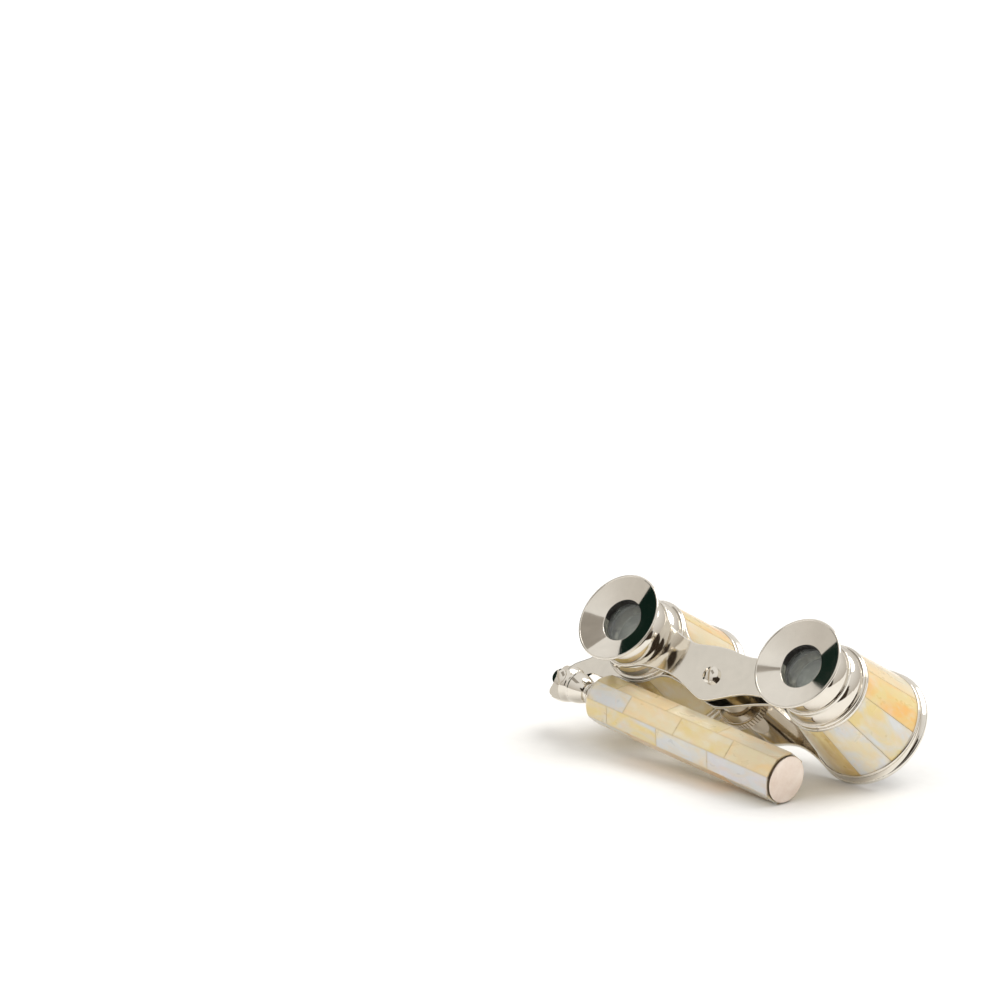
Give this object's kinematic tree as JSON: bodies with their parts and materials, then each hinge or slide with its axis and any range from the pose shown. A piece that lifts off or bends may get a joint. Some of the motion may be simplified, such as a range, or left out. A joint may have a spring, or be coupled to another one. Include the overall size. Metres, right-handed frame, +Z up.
{
  "type": "opera glasses",
  "caption": "Small binocular opera glasses with dished eyecups, mother-of-pearl barrels, a centre focusing wheel and a folding side handle.",
  "frame": {"origin": "middle of the bottom of the whole object's box, on the surface that the glasses stand on", "axes": "+X along the bridges towards the right barrel, +Z up, -Y the side that the eyecups lean towards"},
  "size_m": [0.1036, 0.0516, 0.0462],
  "materials": {
    "polished_nickel": "polished nickel plate",
    "satin_nickel": "satin",
    "mother_of_pearl": "polished shell with a soft lustre",
    "optical_glass": "polished",
    "brass": "turned",
    "blackened_brass": "matt black"
  },
  "bodies": {
    "frame": {"objective_bridge": "polished_nickel", "middle_bridge": "polished_nickel", "column_lower_tube": "polished_nickel", "column_upper_tube": "polished_nickel", "column_screw": "polished_nickel", "left_barrel_tube": "brass", "left_pearl_strips": "mother_of_pearl", "left_objective_end_ring": "polished_nickel", "left_objective_cell": "blackened_brass", "left_objective_lens": "optical_glass", "left_objective_retaining_ring": "blackened_brass", "left_guide_collar": "polished_nickel", "right_barrel_tube": "brass", "right_pearl_strips": "mother_of_pearl", "right_objective_end_ring": "polished_nickel", "right_objective_cell": "blackened_brass", "right_objective_lens": "optical_glass", "right_objective_retaining_ring": "blackened_brass", "right_guide_collar": "polished_nickel"},
    "eyepieces": {"eyepiece_bridge": "polished_nickel", "focus_spindle": "brass", "bridge_screw": "polished_nickel", "left_draw_tube": "polished_nickel", "left_eyecup": "polished_nickel", "left_eye_lens": "optical_glass", "left_eye_lens_ring": "brass", "right_draw_tube": "polished_nickel", "right_eyecup": "polished_nickel", "right_eye_lens": "optical_glass", "right_eye_lens_ring": "brass"},
    "focus_wheel": {"focus_wheel": "polished_nickel"},
    "handle": {"handle_knuckle": "polished_nickel", "handle_pivot_screw": "polished_nickel", "handle_washers": "polished_nickel", "handle_collar": "polished_nickel", "handle_core": "brass", "handle_pearl_tiles": "mother_of_pearl", "handle_end_cap": "satin_nickel", "handle_tie_rod": "brass"}
  },
  "joints": [
    {"name": "focus_slide", "type": "slide", "parent": "frame", "child": "eyepieces", "axis": [0, -0.8028, 0.5962], "range_m": [0, 0.009]},
    {"name": "focus_wheel_turn", "type": "hinge", "parent": "frame", "child": "focus_wheel", "pos_m": [0.00474, 0.00113, 0.01597], "axis": [0, -0.8028, 0.5962], "range_deg": [0, 541]},
    {"name": "handle_fold", "type": "hinge", "parent": "frame", "child": "handle", "pos_m": [-0.04546, -0.01384, 0.01376], "axis": [0, 0.8028, -0.5962], "range_deg": [0, 125]}
  ],
  "couplings": [
    {"joint": "focus_wheel_turn", "follows": "focus_slide", "rad_per_m": 1047.2}
  ]
}
